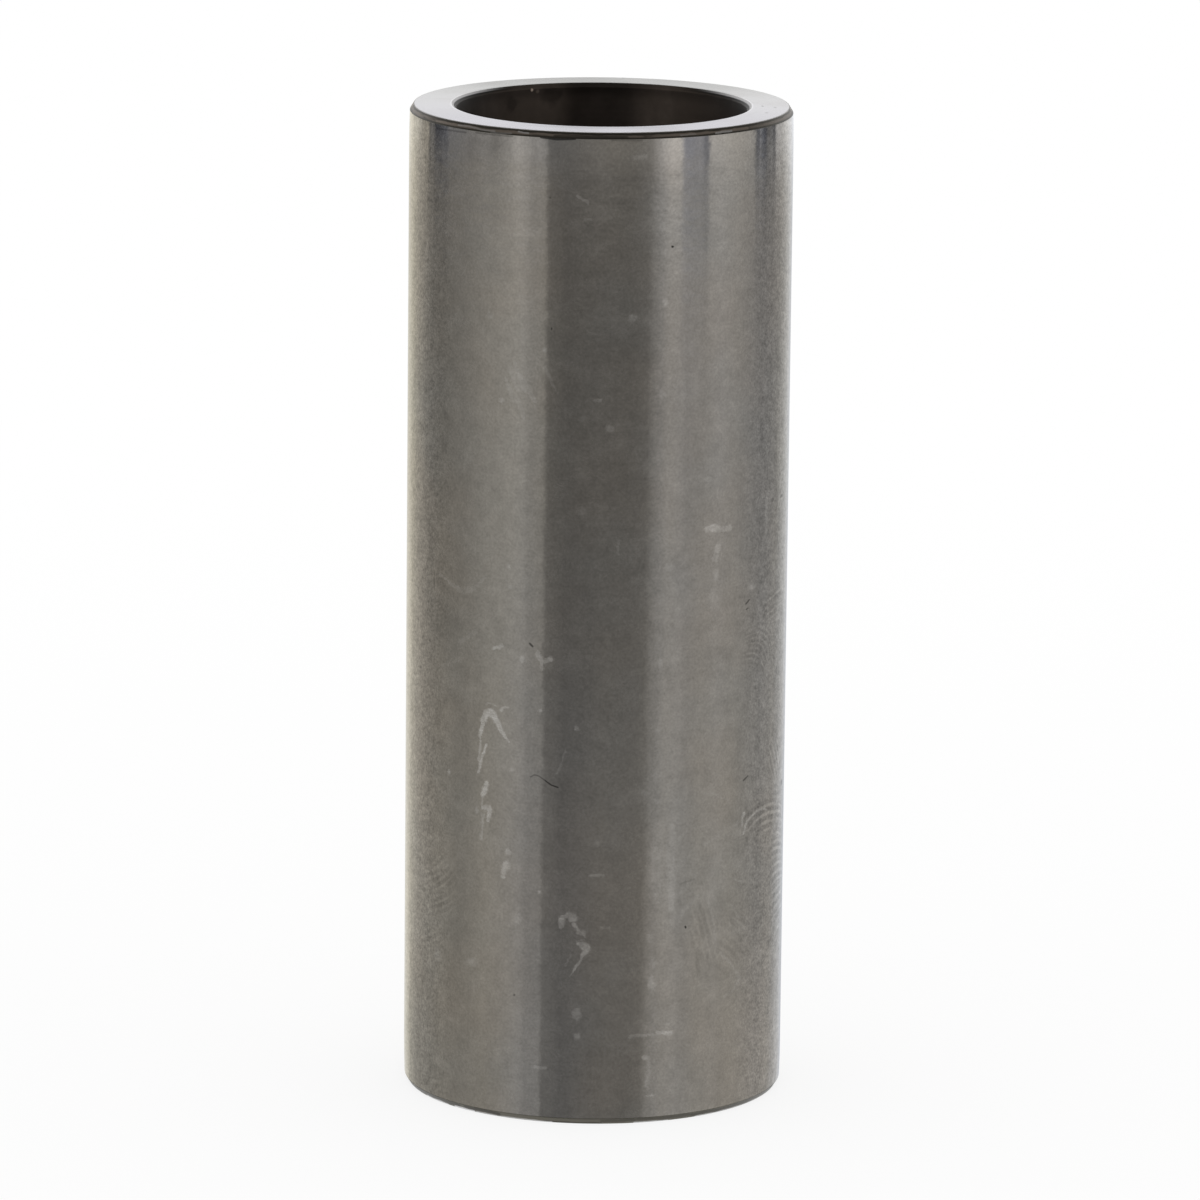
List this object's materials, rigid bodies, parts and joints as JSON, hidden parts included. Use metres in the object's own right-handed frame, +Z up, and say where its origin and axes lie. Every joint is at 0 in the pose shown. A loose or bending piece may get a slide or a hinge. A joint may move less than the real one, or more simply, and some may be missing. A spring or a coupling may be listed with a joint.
{
  "type": "piston pin",
  "caption": "Hollow steel piston pin with a ground outside, flat end faces, chamfered edges and a plain through bore.",
  "frame": {"origin": "centre of the lower end face, on the pin's axis, which is the surface that it stands on", "axes": "+Z up along the pin's axis, towards the upper end face; X and Y across the pin, the same all round"},
  "size_m": [0.023, 0.023, 0.06],
  "materials": {
    "ground_steel": "hardened steel, fine ground round the outside, plain turned end faces, dark unground edges and bore"
  },
  "bodies": {
    "root": {"piston_pin": "ground_steel"}
  },
  "joints": []
}
